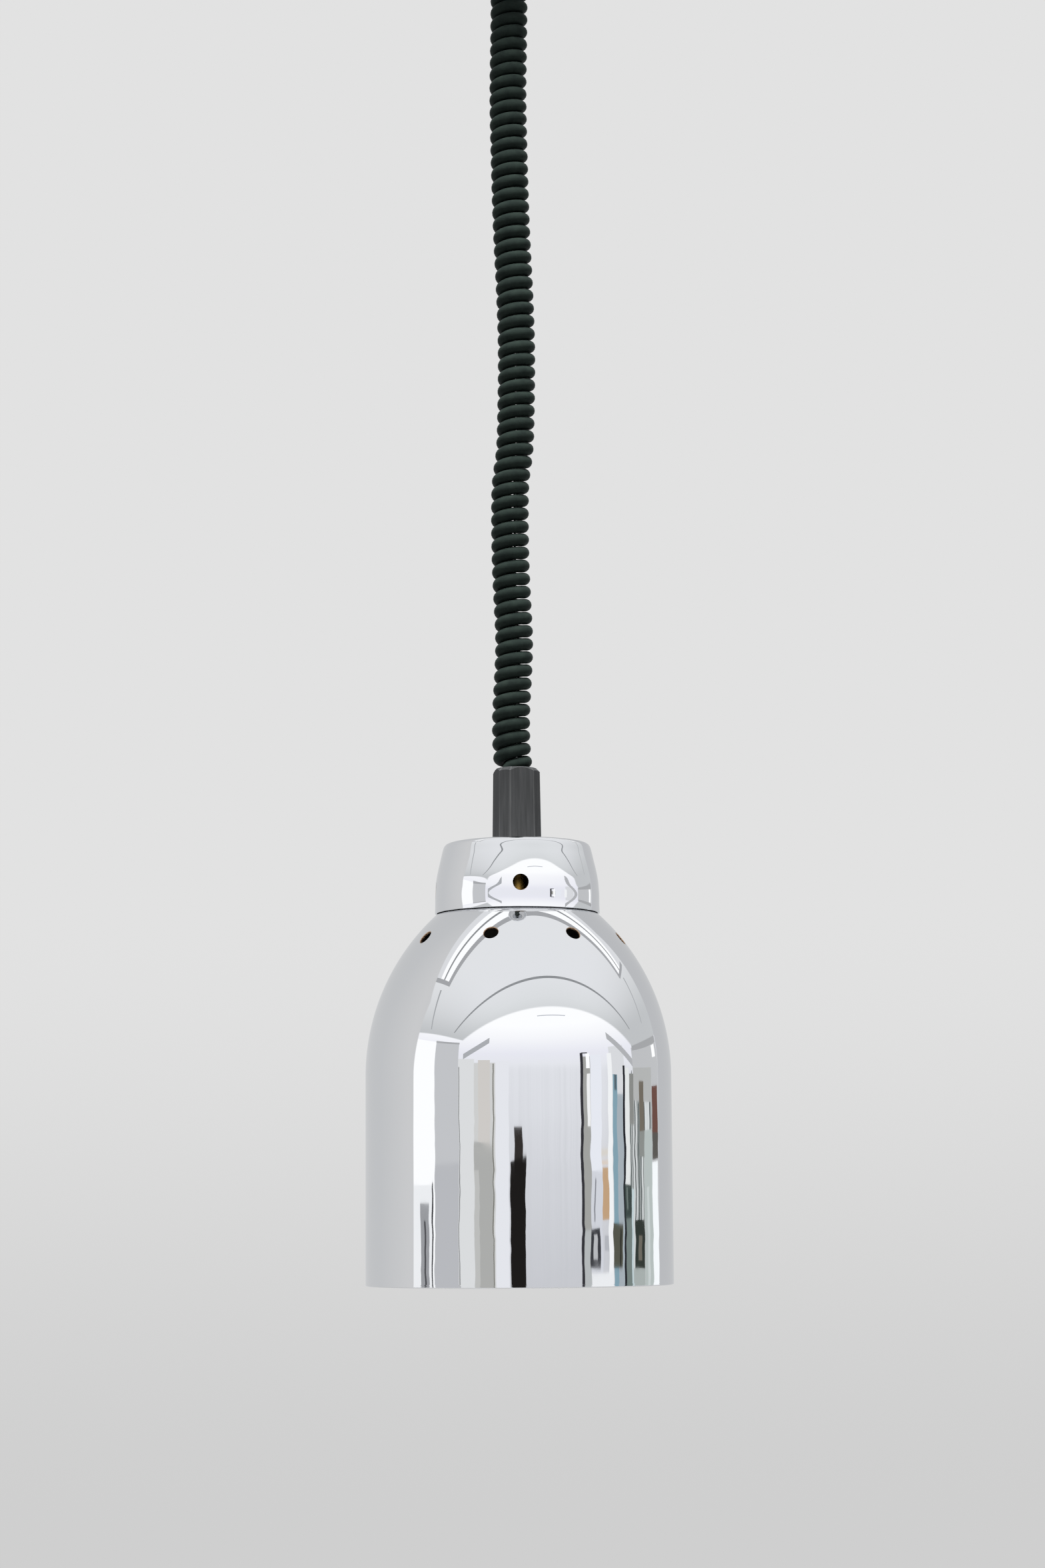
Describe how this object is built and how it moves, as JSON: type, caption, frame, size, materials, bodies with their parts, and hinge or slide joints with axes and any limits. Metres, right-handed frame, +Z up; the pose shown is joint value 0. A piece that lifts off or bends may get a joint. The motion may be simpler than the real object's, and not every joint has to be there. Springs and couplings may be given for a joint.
{
  "type": "heat lamp",
  "caption": "Rise-and-fall food heat lamp: a chrome dome with a vented cap and black grip on a curly flex, hung from a ceiling cup with a spring reel.",
  "frame": {"origin": "on the ceiling plane, on the vertical line of the support rope", "axes": "+Z up into the ceiling, -Y towards the viewer in front of the lamp, +X to that viewer's right"},
  "size_m": [0.175, 0.175, 0.8808],
  "materials": {
    "chrome_shell": "polished chrome plate on spun steel",
    "black_flex": "satin black rubber sheath",
    "black_nylon": "fine moulded texture",
    "rope_steel": "laid galvanised wire",
    "zinc_steel": "bright zinc plate",
    "spring_steel": "blued spring strip",
    "reel_nylon": "natural moulded nylon",
    "terminal_plastic": "moulded",
    "brass": "turned brass",
    "soft_aluminium": "crimped",
    "lead_sleeving": "silicone sleeving",
    "porcelain": "white glaze",
    "ruby_glass": "ruby coated reflector bulb",
    "clear_glass": "clear",
    "dark_ceramic": "vitrite",
    "solder": "solder",
    "tungsten": "drawn wire"
  },
  "bodies": {
    "ceiling_rose": {"ceiling_plate": "zinc_steel", "ceiling_cup": "chrome_shell", "cup_screws": "chrome_shell", "cord_gland": "black_nylon", "gland_nut": "black_nylon", "rope_guide": "reel_nylon", "reel_frame": "zinc_steel", "frame_rivets": "zinc_steel", "reel_axle": "zinc_steel", "axle_clips": "zinc_steel", "balance_spring": "spring_steel", "terminal_block": "terminal_plastic", "terminal_screws": "brass", "ceiling_leads": "lead_sleeving", "curly_cord": "black_flex", "support_rope": "rope_steel"},
    "reel": {"reel_drum": "reel_nylon", "spring_cover": "reel_nylon", "cover_screws": "zinc_steel", "rope_winding": "rope_steel"},
    "lamp_head": {"grip": "black_nylon", "grip_bush": "brass", "rope_ferrule": "soft_aluminium", "hanger_nipple": "brass", "hanger_nut": "zinc_steel", "lock_washer": "zinc_steel", "cap": "chrome_shell", "shade_bridge": "zinc_steel", "shade_screws": "zinc_steel", "shade_nuts": "zinc_steel", "dome_shade": "chrome_shell", "holder_hood": "brass", "lampholder": "porcelain", "holder_shell": "brass", "centre_contact": "brass", "holder_posts": "brass", "hood_screws": "zinc_steel", "lamp_leads": "lead_sleeving", "bulb_glass": "ruby_glass", "bulb_base": "brass", "bulb_insulator": "dark_ceramic", "bulb_tip": "solder", "bulb_stem": "clear_glass", "filament": "tungsten"}
  },
  "joints": [
    {"name": "rise_fall", "type": "slide", "parent": "ceiling_rose", "child": "lamp_head", "axis": [0, 0, -1], "range_m": [0, 0.9], "deforming": ["curly_cord", "support_rope"]},
    {"name": "reel_spin", "type": "hinge", "parent": "ceiling_rose", "child": "reel", "pos_m": [-0.02, 0, -0.033], "axis": [0, 1, 0], "range_deg": [0, 2580]}
  ],
  "couplings": [
    {"joint": "reel_spin", "follows": "rise_fall", "rad_per_m": 50}
  ]
}
